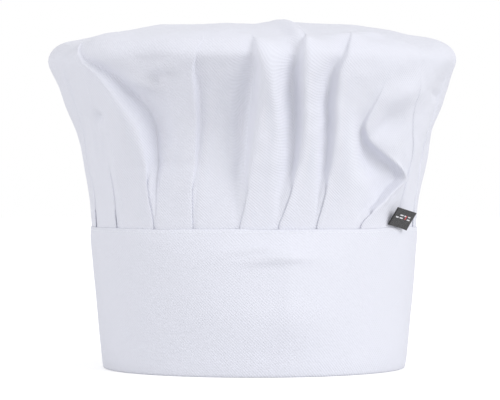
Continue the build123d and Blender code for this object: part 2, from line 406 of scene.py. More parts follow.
TUCK = (22, 17, 0.4, 0, 0, 0, 0, 0, 0, 0, 0)
VALLEY = (0.2, 0.3, 0.7, 1.3, 2.2, 2.6, 2.2, 1.4, 0.6, 0.2, 0)
RIDGE = (0, 0, 0.5, 0.8, 1.0, 1.0, 0.8, 0.5, 0.2, 0, 0)
DEEP_TUCK = (22, 22, 9, 3, 0, 0, 0, 0, 0, 0, 0)


def plain_pleat(turn, front, draw):
    """One of the straight folds of the sides and back, each a little different."""
    lean = draw.normal(0, 1.2) - 1.0 * front
    deep = draw.uniform(0.7, 1.5)
    sway = [turn + lean * max(level - BAND, 0) / 60 + draw.normal(0, 0.5) * (level > 100) for level in LEVELS]
    calm = 1 - 0.75 * abs(math.sin(math.radians(turn))) ** 4
    return Pleat(
        front,
        sway,
        TUCK,
        [v * (1 if k < 3 else deep * calm) for k, v in enumerate(VALLEY)],
        [v * calm for v in RIDGE],
        (3, 3, 5, 6, 7, 8, 8, 8, 8, 8, 8),
        soft=draw.uniform(1.2, 2.0),
    )


def make_pleats():
    """Six plain folds down each side of the back, and between them the eight that the front shows."""
    draw = np.random.default_rng(11)
    left = [plain_pleat(t, -1, draw) for t in (-163, -146, -129, -112, -94, -75)]
    front = [
        Pleat(
            -1,
            (-56, -56, -56.2, -56.5, -57.2, -57, -56.5, -56.6, -60, -62, -62),
            TUCK,
            (0.2, 0.3, 0.6, 0.7, 0.5, 0.3, 0, 0, 0, 0, 0),
            (0, 0, 0.3, 0.4, 0.3, 0.2, 0, 0, 0, 0, 0),
            (3, 3, 4, 5, 6, 7, 7, 7, 7, 7, 7),
            soft=1.5,
            panel=(0, 0, 0, 0, 0.5, 1.0, 1.6, 2.0, 1.6, 0.5, 0),
        ),
        Pleat(
            -1,
            (-36.8, -36.8, -37.3, -37.9, -38.1, -38.7, -42.5, -48.5, -58, -64, -66),
            (22, 22, 9, 4, 1, 0, 0, 0, 0, 0, 0),
            (0.2, 0.3, 0.8, 1.2, 2.0, 2.6, 2.6, 1.6, 0.4, 0, 0),
            (0, 0, 0.8, 1.4, 1.8, 2.0, 2.2, 2.4, 1.2, 0, 0),
            (2, 2, 2, 2, 2.2, 2.4, 3, 4, 6, 6, 6),
            soft=0.4,
            panel=(0, 0, -1.2, -3.4, -8.6, -11, -8.4, -3.6, 0.6, 1.4, 0),
        ),
        Pleat(
            -1,
            (-21.4, -21.4, -21.4, -21.3, -20.9, -19.9, -19, -18.2, -16, -14, -12),
            DEEP_TUCK,
            (0.2, 0.3, 0.6, 0.8, 1.0, 1.0, 1.0, 0.6, 0, 0, 0),
            (0, 0, 0.8, 1.4, 2.2, 3.0, 3.2, 2.0, 0.4, 0, 0),
            (2, 2, 2, 2.5, 3, 3, 3.5, 4, 5, 5, 5),
            soft=0.35,
            panel=(0, 0, -1.2, -3.4, -8.8, -12, -10.5, -5.5, -0.6, 1.2, 0),
        ),
        Pleat(
            1,
            (-4.7, -4.7, -3.5, -2.3, -0.3, 1.2, 2.4, 2.6, 1.2, 0, 0),
            DEEP_TUCK,
            (0.2, 0.3, 0.8, 1.4, 2.4, 3.2, 3.6, 3.4, 2.0, 0, 0),
            (0, 0, 0.8, 1.2, 1.6, 2.0, 2.4, 3.0, 2.4, 0.6, 0),
            (3, 3, 4, 6, 8, 9, 9, 8, 7, 6, 6),
            soft=0.5,
            panel=(0, 0, 0.3, 0.6, 1.2, 1.8, 2.2, 2.4, 2.0, 0.6, 0),
        ),
        Pleat(
            1,
            (8.4, 8.4, 10.3, 12.2, 15.0, 15.6, 14.9, 14.0, 14.3, 17, 19),
            DEEP_TUCK,
            (0.2, 0.3, 1.8, 3.8, 6.6, 8.8, 10, 10, 7.5, 2.6, 0),
            (0, 0, 0.8, 1.2, 1.6, 2.2, 2.6, 3.0, 2.6, 1, 0),
            (3, 3, 4, 6, 8, 9.5, 10, 10, 10, 9, 8),
            soft=0.5,
            panel=(0, 0, 0.3, 0.8, 1.6, 2.4, 2.6, 2.6, 2.0, 0.5, 0),
        ),
        Pleat(
            1,
            (21.8, 21.8, 23.0, 24.1, 26.1, 26.0, 24.8, 24.4, 27.0, 31, 33),
            DEEP_TUCK,
            (0.2, 0.3, 1.4, 3.0, 5.6, 7.8, 8.6, 7.6, 4.6, 1.4, 0),
            (0, 0, 0.6, 1.0, 1.4, 1.8, 2.0, 1.8, 1.2, 0.4, 0),
            (2, 2, 2.4, 3.4, 6, 7.5, 7.5, 7, 7, 7, 7),
            soft=0.5,
            panel=(0, 0, 0.4, 1.0, 1.8, 2.2, 2.0, 1.4, 0.8, 0.3, 0),
        ),
        Pleat(
            1,
            (39.4, 39.4, 45.2, 50.5, 56.5, 60.2, 57.7, 51.8, 45.5, 39.5, 36.5, 38, 42, 46),
            TUCK,
            (0.2, 0.3, 3, 5, 6.2, 4.6, 2.0, 0.5, 0, 0, 0),
            (0, 0, 1.4, 2.4, 3.0, 2.4, 1.4, 0.4, 0, 0, 0),
            (3, 3, 9, 17, 19, 14, 10, 8, 8, 8, 8),
            soft=0.6,
            panel=(0, 0, 0.4, 0.6, 0.6, 0.4, 0.6, 0.8, 0.6, 0, 0),
            levels=(77, 86, 97, 102.5, 109, 115, 120, 126, 132, 139, 147, 160, 190, 235),
        ),
        Pleat(
            1,
            (60, 60, 61, 63, 63.7, 60.4, 57, 55.6, 58, 60, 61),
            TUCK,
            (0.2, 0.3, 0.8, 1.0, 1.0, 1.0, 0.9, 0.6, 0.2, 0, 0),
            (0, 0, 0.4, 0.6, 0.6, 0.6, 0.6, 0.4, 0.2, 0, 0),
            (3, 3, 5, 6, 5, 4, 4, 4, 4, 4, 4),
            soft=0.9,
        ),
    ]
    right = [plain_pleat(t, 1, draw) for t in (77, 95, 112, 129, 146, 163)]
    return left + front + right


pleats = make_pleats()
# Columns between a fold's knots, and from its edge to the panel's middle.
STEPS = (4, 3, 4, 1, 1, 4, 1, 1, 4)


def fold_knots(p, h, per_mm, back, front, shore):
    """One fold's knots, from the panel behind it to its edge: (degrees round, depth, softness).

    Near the seam the cloth doubles back flat behind the edge; higher up it opens into a plain wall.
    """
    turn, tuck = float(p.turn(h)), float(p.tuck(h))
    low, high = back - float(p.valley(h)), front + float(p.ridge(h))
    layer = 0.45 + 0.1 * float(smooth(h, 86, 100))
    shut = float(smooth(tuck, 0.0, 4.0))
    wall = min(0.4 * abs(high - low) + 0.5, 0.55 * shore / per_mm)
    beyond = wall + 0.3 * (shore / per_mm - wall)
    closed = [
        (shore / per_mm, back),
        (beyond, min(low, high - 2 * layer)),
        (0.3, high - 2 * layer),
        (-tuck + 0.5, high - 2 * layer),
        (-tuck, high - 1.5 * layer),
        (-tuck + 0.5, high - layer),
        (-0.6, high - layer),
        (-0.1, high - layer / 2),
        (-0.5, high),
    ]
    rise = (0, 0, 0.1, 0.3, 0.5, 0.7, 0.88, 0.97, 1)
    run = (shore / per_mm, beyond, *(wall * (1 - k / 8) for k in range(2, 8)), -1.0)
    opened = [(run[0], back)] + [(run[k], low + (high - low) * rise[k]) for k in range(1, 9)]
    softness = (1.4, 1.1, 0.9) + (1.6 * p.soft,) * 6
    knots = []
    for (o1, d1), (o2, d2), soft in zip(closed, opened, softness):
        off = o1 * shut + o2 * (1 - shut)
        knots.append((turn - p.front * off * per_mm, d1 * shut + d2 * (1 - shut), soft))
    return knots if p.front > 0 else knots[::-1]


def row_knots(s):
    """The crown's cross-section at one level: (degrees round, depth, softness) at each knot."""
    h = float(level_of(s))
    per_mm = math.degrees(1 / max(float(on_profile(s)[0]), 30.0))
    half_gap = np.interp(h, (BAND, SLIT_TOP), SLIT_HALF) if h < SLIT_TOP else 0.0
    edge = 180 - half_gap * per_mm / OVAL
    knots = [(-edge, 0.0, 1.0)]
    turns = [-edge, *(float(p.turn(h)) for p in pleats), edge]
    gaps = np.diff(turns)
    rooms = [gaps[k] if p.front > 0 else gaps[k + 1] for k, p in enumerate(pleats)]
    shores = [min(float(p.shore(h)), 0.6 * room) for p, room in zip(pleats, rooms)]
    panel = 0.0
    for k, p in enumerate(pleats):
        after = float(p.panel(h))
        back, front = (panel, after) if p.front > 0 else (after, panel)
        knots += fold_knots(p, h, per_mm, back, front, shores[k])
        mine = turns[k + 1] + (shores[k] if p.front < 0 else 0)
        last = k + 1 == len(pleats)
        theirs = turns[k + 2] - (0 if last or pleats[k + 1].front < 0 else shores[k + 1])
        knots.append(((mine + theirs) / 2, after, 2.0))
        panel = after
    knots.append((edge, 0.0, 1.0))
    return np.array(knots)


def spread(knots):
    """The row's columns, between its knots."""
    counts = []
    for p in pleats:
        counts += [4, *STEPS] if p.front > 0 else [4, *STEPS[:-1][::-1], STEPS[-1]]
    counts.append(4)
    rows = []
    for n, a, b in zip(counts, knots[:-1], knots[1:]):
        f = np.arange(n)[:, None] / n
        rows.append(a + (b - a) * f)
    rows.append(knots[-1:])
    return np.vstack(rows)


def crown_rows():
    """How far along the cloth each row lies from its sewn edge."""
    side = np.concatenate([[0, 3, 6, 8.5], np.arange(10, S_WIDE, 1.8)])
    over = np.arange(S_WIDE, S_WIDE + 40, 2.0)
    lid = np.linspace(S_WIDE + 40, REACH - 3, 26)
    return np.concatenate([side, over, lid])


def soften(row, times, wraps):
    """Rounds a row's corners, each column as many times as its softness says."""
    values, soft = row[:, :2].copy(), row[:, 2] * times
    for k in range(int(math.ceil(soft.max()))):
        if wraps:
            before, after = np.roll(values, 1, 0), np.roll(values, -1, 0)
            before[0, 0] -= 360
            after[-1, 0] += 360
        else:
            before, after = np.vstack([values[:1], values[:-1]]), np.vstack([values[1:], values[-1:]])
        share = np.clip(soft - k, 0, 1)[:, None] * 0.5
        moved = values + share * ((before + after) / 2 - values)
        if not wraps:
            moved[0], moved[-1] = values[0], values[-1]
        values = moved
    return values


# Single bumps (+) and dents (-): degrees round, level, length and width in mm, tilt in degrees, height.
FORMS = (
    (13.5, 205, 15, 4, 95, 3.4),
    (45.0, 122, 20, 10, 143, -8.0),
    (13.5, 230, 26, 6, 95, 4.0),
    (-33, 186, 16, 6, -15, -3.4),
    (-26, 178, 6, 4, 30, 3.2),
    (-35, 169, 9, 5, -20, 3.4),
    (-29.5, 173, 6, 3, 40, -3.0),
    (-55.5, 151, 6, 3.5, 10, -3.2),
    (-30, 122, 22, 3, 0, -0.8),
    (72, 165, 10, 2.2, -8, -1.8),
    (29, 201, 10, 6, -20, 3.2),
    (38, 207, 16, 5, 10, 2.6),
    (48, 147, 12, 8, 25, -5.0),
    (50, 166, 16, 7, 15, 3.2),
    (5, 168, 26, 3.6, 98, 2.6),
    (30, 135, 22, 6, 95, 2.0),
    (-52, 120, 26, 5, 95, 1.2),
    (-90, 190, 40, 14, 0, 3.0),
    (90, 192, 40, 12, 0, 1.6),
)


def formed(t_deg, h, a):
    """The height of all the single bumps and dents at these places."""
    total = 0.0
    for turn, level, long, short, tilt, lift in FORMS:
        x = (t_deg - turn) * math.pi / 180 * a
        y = h - level
        c, q = math.cos(math.radians(tilt)), math.sin(math.radians(tilt))
        total = total + lift * hump(x * c + y * q, 0, long) * hump(y * c - x * q, 0, short)
    return total


SOFTER_AT = (88, 98, 112, 130, 150, 185, 200, 225)
SOFTER_BY = (0, 1, 3, 6, 9, 11, 16, 24)


def crown_points():
    """The crown's rows of points, with the flat cloth's coordinates for its side and for its lid.

    The rows start at the sewn edge. Those that cross the vent at the back are open there; the rest go round.
    """
    rows = crown_rows()
    seam = spread(row_knots(10.0))
    steps = np.maximum(np.abs(np.diff(seam[:, 0])) * math.pi / 180 * BASE_A, 0.05)
    u = np.concatenate([[0], np.cumsum(steps)]) / steps.sum()
    grain = waves(9, 90, 26, 5)
    fine = waves(12, 24, 9, 8)
    verts, side_flat, lid_flat = [], [], []
    slit_rows = 0
    for s in rows:
        h = float(level_of(s))
        knots = row_knots(s)
        row = spread(knots)
        open_row = h < SLIT_TOP
        times = float(np.interp(h, SOFTER_AT, SOFTER_BY))
        use = row if open_row else row[:-1]
        td = soften(use, times, not open_row)
        fade = float(1 - smooth(h, 196, 236))
        uu = u if open_row else u[:-1]
        even = -180 + 360 * uu
        t = np.radians(td[:, 0] * fade + even * (1 - fade))
        d = td[:, 1] * fade
        a, z, na, nz = on_profile(s)
        x_flat, y_flat = (REACH - s) * np.sin(t), -(REACH - s) * np.cos(t)
        loose = float(smooth(h, 90, 130))
        d = d + loose * (1.1 * grain(x_flat, y_flat) + 0.2 * fine(x_flat, y_flat))
        d = d + formed(np.degrees(t), h, float(a)) * float(smooth(h, 92, 108))
        d = d - CLOTH / 2
        out = a + d * na
        verts.append(np.column_stack([out * np.sin(t), -out * OVAL * np.cos(t), z + d * nz]))
        lean = 2 * smooth(np.degrees(t), -9, 1) - 1  # the folds' walls run opposite ways on the two sides
        side_flat.append(np.column_stack([t * a + d * lean, np.full(len(t), s - REACH)]))
        lid_flat.append(np.column_stack([x_flat, y_flat]))
        slit_rows += open_row
    return rows, verts, side_flat, lid_flat, slit_rows


crown_s, crown_verts, side_flat, lid_flat, slit_rows = crown_points()


def crown_faces(verts):
    """The faces between the rows, then those round the last point, and how many columns there are."""
    faces = []
    start = np.cumsum([0] + [len(v) for v in verts])
    cols = len(verts[0]) - 1
    for i in range(len(verts) - 1):
        low, high = start[i], start[i + 1]
        wide_low, wide_high = i < slit_rows, i + 1 < slit_rows
        for j in range(cols):
            k = j + 1
            p = low + (k if wide_low or k < cols else 0)
            q = high + (k if wide_high or k < cols else 0)
            faces.append((low + j, p, q, high + j))
    ring, top = start[-2], start[-1]
    faces += [(ring + j, ring + (j + 1) % cols, top) for j in range(cols)]
    return faces, cols


faces, cols = crown_faces(crown_verts)
points = np.vstack([*crown_verts, [[0, 0, TOP - CLOTH / 2]]])
coords, lid_coords = np.vstack([*side_flat, [[0, 0]]]), np.vstack([*lid_flat, [[0, 0]]])
lid_from = cols * int(np.searchsorted(crown_s, S_WIDE + 14))
crown = add_mesh("crown_cloth", points, faces, coords, crown_twill)
weave = crown.data.uv_layers["flat"].data
for polygon in crown.data.polygons:
    over_the_top = polygon.index >= lid_from
    if not over_the_top and polygon.index % cols < cols - 1:
        continue
    for corner, vertex in zip(polygon.loop_indices, polygon.vertices):
        x, y = lid_coords[vertex] if over_the_top else coords[vertex]
        if not over_the_top and x < 0:  # the back's middle, where the measure round starts again
            x = -x
        weave[corner].uv = (x * MM, y * MM)
thicken(crown, CLOTH)
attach(crown, "hat")
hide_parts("crown")

# ---- Band -----------------------------------------------------------------------------------------

CREASE_X = 18.0  # the crease's place, measured round from the front's middle
LAYER = (BAND_T - CLOTH) / 2  # from the middle of a folded strip to the middle of either layer

band_wave = waves(8, 120, 40, 21)
band_fine = waves(10, 30, 10, 22)


def band_swell(t_deg, z):
    """How far the band's outer layer stands off its stiffener, in millimetres.

    It has some ease all round, but none under the loop tape. At the front it has an upright crease on a broad
    swell, a curled wrinkle with a brow above it, and a slight sag.
    """
    x = np.radians(t_deg) * BAND_R
    ease = (0.45 + 0.35 * band_wave(x, z) + 0.06 * band_fine(x, z)) * (1 - smooth(x, 215, 238))
    edge = smooth(z, 0, 8) * (1 - smooth(z, BAND - 8, BAND))
    front = np.clip(1.3 * np.cos(np.radians(t_deg)) - 0.3, 0, 1)
    on_left = x < CREASE_X
    broad = 6.0 * hump(x, CREASE_X, np.where(on_left, 54, 34)) * smooth(z, 0, 40)
    broad = broad * (1 - 0.8 * smooth(z, BAND - 20, BAND))
    crease = 2.6 * np.exp(-np.abs(x - CREASE_X) / np.where(on_left, 12, 26)) * smooth(z, 8, 40)
    crease = crease * (1 - 0.6 * smooth(z, BAND - 16, BAND))
    curl = hump(z, 68 + 0.05 * (x - 5), 1.9) * hump(x, 12, 16)
    brow = hump(z, 74 - 0.006 * (x - 2) ** 2, 1.8) * hump(x, 4, 20)
    sag = hump(x, -82, 20) * hump(z, 34, 16)
    wrinkles = (2.8 * curl + 2.0 * brow + 1.6 * sag) * edge
    return np.maximum(ease * edge, 0) + front * (broad + crease + wrinkles)


def edge_wave(t_deg, z):
    """How far the band's top edge dips and rises where the sewing has drawn it in."""
    return 0.35 * band_wave(np.radians(t_deg) * BAND_R * 1.6, 40.0) * smooth(z, 62, 84)


def strip_section(lip, top, steps):
    """A folded strip's cross-section, (distance out, height), and the distance along it.

    It goes down the outer layer, round the fold at the foot and up the inner layer. The lip is the shape of
    either top edge: how far each point is from the strip's middle, and how far below the top.
    """
    mid, foot = BAND_T / 2, 2.2
    line = [(mid + off, BAND - deep) for off, deep in lip]
    line += [(mid + LAYER, z) for z in np.linspace(top, foot, steps)]
    for turn in np.linspace(0, math.pi, 7)[1:-1]:
        line.append((mid + LAYER * math.cos(turn), 0.3 + 1.4 * (1 - math.sin(turn))))
    line += [(mid - LAYER, z) for z in np.linspace(foot, top, 24)]
    line += [(mid - off, BAND - deep) for off, deep in lip[::-1]]
    section = np.array(line)
    return section, lengths_along(section)


def band_cloth():
    """The band's strip, folded along its foot, with its top edges turned in; it runs from end to end."""
    turned_in = [(LAYER - 0.55, deep) for deep in (8.0, 4.0, 0.8)] + [(LAYER - 0.28, 0.28), (LAYER, 0.7)]
    section, cut = strip_section(turned_in, BAND - 1.6, 42)
    out, z = section[:, 0], section[:, 1]
    is_outer = out > BAND_T / 2
    turns = np.linspace(turn_at(GAP / 2), 360 - turn_at(-ROOT_X), 330)
    verts, uv = [], []
    for turn in turns:
        signed = 180 - turn
        swell = np.where(is_outer & (z <= BAND - 1), band_swell(signed, z), 0.0)
        a, b = band_axes(z, out + swell)
        rad = math.radians(signed)
        verts.append(np.column_stack([a * math.sin(rad), -b * math.cos(rad), z + edge_wave(signed, z)]))
        uv.append(np.column_stack([np.full(len(z), rad * BAND_R), -cut]))
    return np.vstack(verts), grid_faces(len(turns), len(section)), np.vstack(uv)


points, faces, coords = band_cloth()
band = add_mesh("band_cloth", points, faces, coords, band_twill)
thicken(band, CLOTH)
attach(band, "hat")
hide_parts("band_cover")

# ---- Tab ------------------------------------------------------------------------------------------


def stepped_out(x):
    """How far the tab has left the band's own surface at this x, in its S bend across the gap."""
    share = np.clip((x + GAP / 2) / (GAP - 2), 0, 1)
    return TAB_STEP * share * share * (3 - 2 * share)


def on_band(arc, z, out):
    """A point of the band: how far round from the back's middle, towards +X, and out of its inner face."""
    turn = np.radians(degrees_for(1.0)) * arc
    a, b = band_axes(z, out)
    return np.column_stack([a * np.sin(turn), b * np.cos(turn), z])


def on_tab(arc, z, out):
    """A point of the closed tab, in the same terms."""
    turn = np.radians(degrees_for(1.0)) * arc
    a, b = band_axes(z, out)
    more = stepped_out(a * np.sin(turn))
    return np.column_stack([(a + more) * np.sin(turn), (b + more) * np.cos(turn), z])


def tab_swell(arc, z):
    """How far the tab's outer layer stands off its stiffener."""
    ease = np.maximum(0.2 + 0.25 * band_wave(arc + 300, z), 0)
    upright = smooth(z, 0, 8) * (1 - smooth(z, BAND - 10, BAND - 2))
    return ease * upright * smooth(arc, 4, 14) * (1 - smooth(arc, TAB_END - 10, TAB_END - 2))


def tab_face(arc, z):
    """How far out the tab's outer surface is."""
    return BAND_T + tab_swell(arc, z)


def tab_cloth():
    """One strip folded into a flat tube, its edges butted along the top, drawn shut at its free end."""
    butted = [(0.28, 0.3), (LAYER - 0.12, 0.5), (LAYER, 1.0)]
    section, cut = strip_section(butted, BAND - 2, 40)
    mid = BAND_T / 2
    side, z = section[:, 0] - mid, section[:, 1]
    last = TAB_END - 1.6
    first = turn_at(ROOT_X) / degrees_for(1.0)
    arcs = np.concatenate([np.linspace(first, last, 84), TAB_END - np.array([1.1, 0.7, 0.4, 0.25])])
    verts, uv = [], []
    for arc in arcs:
        shut = max(0.0, (arc - last) / (TAB_END - last))
        squeeze = max(0.3, math.sqrt(1 - shut * shut))
        swell = np.where(side > 0, tab_swell(arc, z), 0.0)
        verts.append(on_tab(arc, z, mid + side * squeeze + swell))
        uv.append(np.column_stack([np.full(len(z), arc + 300), -cut]))
    return np.vstack(verts), grid_faces(len(arcs), len(section)), np.vstack(uv)


points, faces, coords = tab_cloth()
tab = add_mesh("tab_cloth", points, faces, coords, band_twill)
thicken(tab, CLOTH)
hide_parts("tab_cover")
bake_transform(tab)

# ---- Stitching ------------------------------------------------------------------------------------


def tube(path, radius, up, sides):
    """A thin closed tube along a path; the radius may be a number or one number for each point."""
    ring = np.linspace(0, 2 * math.pi, sides, endpoint=False)
    ahead = unit(np.gradient(path, axis=0))
    beside = unit(np.cross(ahead, up))
    over = np.cross(beside, ahead)
    round_ = np.cos(ring)[None, :, None] * over[:, None] + np.sin(ring)[None, :, None] * beside[:, None]
    size = np.broadcast_to(radius, len(path))[:, None, None]
    last = (len(path) - 1) * sides
    faces = grid_faces(len(path), sides, wrap=True).tolist()
    faces += [list(range(sides - 1, -1, -1)), list(range(last, last + sides))]
    return (path[:, None] + size * round_).reshape(-1, 3), faces


def joined(parts):
    """Several meshes' points and faces as one."""
    verts, faces, start = [], [], 0
    for v, f in parts:
        faces += [[start + k for k in face] for face in f]
        verts.append(v)
        start += len(v)
    return np.vstack(verts), faces


def beads(points, normals, pitch=3.0, share=0.74, radius=0.2):
    """Separate stitches along a line that lies on cloth: each a short thread whose two ends dive into it."""
    cut = lengths_along(points)
    count = max(1, int(cut[-1] / pitch))
    threads = []
    for i in range(count):
        at = (i + 0.5 + share * np.linspace(-0.5, 0.5, 5)) * cut[-1] / count
        line = np.column_stack([np.interp(at, cut, points[:, k]) for k in range(3)])
        up = np.column_stack([np.interp(at, cut, normals[:, k]) for k in range(3)])
        line = line + up * np.array([-0.12, 0.05, 0.09, 0.05, -0.12])[:, None]
        threads.append(tube(line, radius * np.array([0.4, 0.9, 1, 0.9, 0.4]), up, 6))
    return joined(threads)


def stitching(name, body, cad_node, lines):
    """All the stitches of one seam, which stand for one CAD node."""
    obj = add_mesh(name, *joined([beads(points, normals) for points, normals in lines]), None, thread_mat)
    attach(obj, body)
    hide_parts(cad_node)


def facing(points, sign):
    """Normals that point out of the hat, or with -1 into it."""
    return sign * unit(points * np.array([1, 1, 0.0]))


def sewn(surface, corners, out, sign):
    """A line of stitching through these (arc, height) corners on a surface."""
    points = []
    for (a0, z0), (a1, z1) in zip(corners[:-1], corners[1:]):
        n = max(2, int(math.hypot(a1 - a0, z1 - z0)))
        arc, z = np.linspace(a0, a1, n, endpoint=False), np.linspace(z0, z1, n, endpoint=False)
        points.append(surface(arc, z, out(arc, z) if callable(out) else out))
    points = np.vstack(points)
    return points, facing(points, sign)


def box_round(arc0, arc1, low, high):
    """The corners of a frame of sewing, back to just above where it began."""
    return [(arc0, low), (arc1, low), (arc1, high), (arc0, high), (arc0, low + 1)]


def top_line(inside):
    """The sewing along the band's top edge, seen from outside or from inside, nearly from end to end."""
    signed = np.linspace(180 - turn_at(GAP / 2 + 4.5), turn_at(-ROOT_X - 3.5) - 180, 500)
    z = np.full(500, SEWN_TOP)
    a, b = band_axes(z, 0.0 if inside else BAND_T + band_swell(signed, z))
    turn = np.radians(signed)
    level = z + edge_wave(signed, z)
    points = np.column_stack([a * np.sin(turn), -b * np.cos(turn), level])
    return points, facing(points, -1 if inside else 1)


END_SEAM = [(GAP / 2 + INSET, 2), (GAP / 2 + INSET, BAND - 5)]
TAPE_SEAM = (TAPE_LOW + INSET, TAPE_HIGH - INSET)
LOOP_SEAM = box_round(LOOP_FROM + INSET, LOOP_TO - INSET, *TAPE_SEAM)
HOOK_SEAM = box_round(HOOK_FROM + INSET, HOOK_TO - INSET, *TAPE_SEAM)
TAB_SEAM = [(-3, INSET), (TAB_END - INSET, INSET), (TAB_END - INSET, SEWN_TOP), (-3, SEWN_TOP)]
stitching("band_top_stitches", "hat", "band_top_stitching", [top_line(False), top_line(True)])
stitching("band_end_stitches", "hat", "band_end_stitching", [sewn(on_band, END_SEAM, 0.0, -1)])
stitching("loop_tape_stitches", "hat", "loop_tape_stitching", [sewn(on_band, LOOP_SEAM, 0.0, -1)])
stitching("hook_tape_stitches", "tab", "hook_tape_stitching", [sewn(on_tab, HOOK_SEAM, tab_face, 1)])
stitching("tab_edge_stitches", "tab", "tab_edge_stitching", [sewn(on_tab, TAB_SEAM, tab_face, 1)])


def slit_lines():
    """The hem line beside each edge of the crown's vent, and the bar tack across its top."""
    lines = []
    for order in (1, -1):
        points, normals = [], []
        for s, row in zip(crown_s[:slit_rows], crown_verts[:slit_rows]):
            if level_of(s) < BAND + 3:
                continue
            side = row[::order][:60]
            _, _, out, rise = on_profile(s)
            points.append([np.interp(3.0, lengths_along(side), side[:, k]) for k in range(3)])
            normals.append([0, out, rise])
        points, normals = np.array(points), np.array(normals)
        lines.append((points + normals * CLOTH / 2, normals))
    row = crown_verts[slit_rows]
    ring = np.vstack([row[-30:], row[:30]])
    ring = ring[np.argsort(ring[:, 0])]
    _, _, out, rise = on_profile(crown_s[slit_rows])
    normal, up = np.array([0, out, rise]), np.array([0, -rise, out])
    for x in np.linspace(-3.6, 3.6, 13):
        middle = np.array([x, *(np.interp(x, ring[:, 0], ring[:, k]) for k in (1, 2))]) + normal * CLOTH / 2
        lines.append((middle + up * np.array([-1.1, 0, 1.1])[:, None], np.tile(normal, (3, 1))))
    return lines


stitching("slit_stitches", "hat", "slit_stitching", slit_lines())

# ---- Tapes ----------------------------------------------------------------------------------------


def tubes(paths, radius, sides=5):
    """Thin closed tubes along these paths, as one mesh."""
    return joined([tube(path, radius, np.array([0.01, 0.01, 1.01]), sides) for path in paths])


def tape_base(name, surface, arc0, arc1, out, thickness, mat, rough=0.0):
    """A tape's woven ground: a thin sheet on this surface, between two arcs, closed all round."""
    draw = np.random.default_rng(int(arc1))
    arcs, levels = np.linspace(arc0, arc1, 60), np.linspace(TAPE_LOW, TAPE_HIGH, 80)
    lift = draw.normal(0, rough, (60, 80))
    from_ends = np.minimum(arcs - arc0, arc1 - arcs)
    rim = np.minimum.outer(from_ends, np.minimum(levels - TAPE_LOW, TAPE_HIGH - levels))
    lift = lift * smooth(rim, 0, 1.2)
    verts = np.vstack([surface(np.full(80, arc), levels, out + lift[i]) for i, arc in enumerate(arcs)])
    uv = np.array([(arc, z) for arc in arcs for z in levels])
    obj = add_mesh(name, verts, grid_faces(60, 80), uv, mat)
    thicken(obj, thickness)
    return obj


def hooks(surface, arc0, arc1, base, sign, height):
    """Rows of tiny hooks that stand on a tape: a stem, and a crook that points along the row."""
    paths = []
    shape = np.array([(0, 0), (0, 0.45), (0.05, 0.7), (0.2, 0.92), (0.4, 0.98), (0.55, 0.85), (0.58, 0.65)])
    for row, z in enumerate(np.arange(TAPE_LOW + 1, TAPE_HIGH - 0.9, 1.5)):
        for arc in np.arange(arc0 + 1 + 0.5 * (row % 2), arc1 - 1.2, 1.5):
            way = 1 if row % 2 else -1
            along_arc = arc + way * shape[:, 0] * 0.8
            paths.append(surface(along_arc, np.full(7, z), base + sign * height * shape[:, 1]))
    return paths


def loops(surface, arc0, arc1, base, height):
    """A tangled pile of little loops, each way round."""
    draw = np.random.default_rng(29)
    paths = []
    for _ in range(1500):
        arc, z = draw.uniform(arc0 + 1, arc1 - 1), draw.uniform(TAPE_LOW + 1, TAPE_HIGH - 1)
        turn, wide, tall = draw.uniform(0, 2 * math.pi), draw.uniform(0.5, 1.1), height * draw.uniform(0.6, 1)
        t = np.linspace(0, math.pi, 7)
        far = wide * np.cos(t)
        paths.append(surface(arc + far * math.cos(turn), z + far * math.sin(turn), base + tall * np.sin(t)))
    return paths


hook_mat = fibre("hook_tape", (0.80, 0.82, 0.86), 1800, 0.05, 0.6, 0.8)
loop_mat = fibre("loop_tape", (0.82, 0.83, 0.85), 1500, 0.15, 0.95, 0.7)

hook_base = tape_base("hook_tape_ground", on_tab, HOOK_FROM, HOOK_TO, -0.22, 0.4, hook_mat)
all_hooks = tubes(hooks(on_tab, HOOK_FROM, HOOK_TO, -0.35, -1, 0.78), 0.09)
hook_pile = add_mesh("hook_tape_hooks", *all_hooks, None, hook_mat)
loop_base = tape_base("loop_tape_ground", on_band, LOOP_FROM, LOOP_TO, BAND_T + 0.3, 0.5, loop_mat, 0.06)
all_loops = tubes(loops(on_band, LOOP_FROM, LOOP_TO, BAND_T + 0.4, 0.68), 0.07, 4)
loop_pile = add_mesh("loop_tape_pile", *all_loops, None, loop_mat)
for piece, body, node_name, slot_name in (
    (hook_base, "tab", "hook_tape", "hook_white"),
    (hook_pile, "tab", "hook_tape", "hook_white"),
    (loop_base, "hat", "loop_tape", "loop_white"),
    (loop_pile, "hat", "loop_tape", "loop_white"),
):
    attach(piece, body)
    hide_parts(node_name)

# ---- Label ----------------------------------------------------------------------------------------

LABEL_W, LABEL_H, LEAF, LEAF_GAP = 17.0, 12.4, 0.3, 0.3
BEARING, TURN, DIP, LEAN = (math.radians(v) for v in (57.3, -8.6, 12.5, 30.0))
LABEL_CLEAR = 1.3


def label_frame():
    """The middle of the label's lower edge, and its directions: along that edge, up to its fold, outwards."""
    a, b = (float(v) for v in band_axes(BAND, BAND_T + LABEL_CLEAR))
    origin = np.array([a * math.sin(BEARING), -b * math.cos(BEARING), BAND])
    heading = math.atan2(b * math.sin(BEARING), a * math.cos(BEARING)) + TURN
    level = np.array([math.cos(heading), math.sin(heading), 0])
    up = np.array([0, 0, 1.0])
    x = level * math.cos(DIP) - up * math.sin(DIP)
    outward = np.cross(level, up)
    z = unit(outward * math.cos(LEAN) - np.cross(outward, x) * math.sin(LEAN))
    return origin, x, np.cross(z, x), z


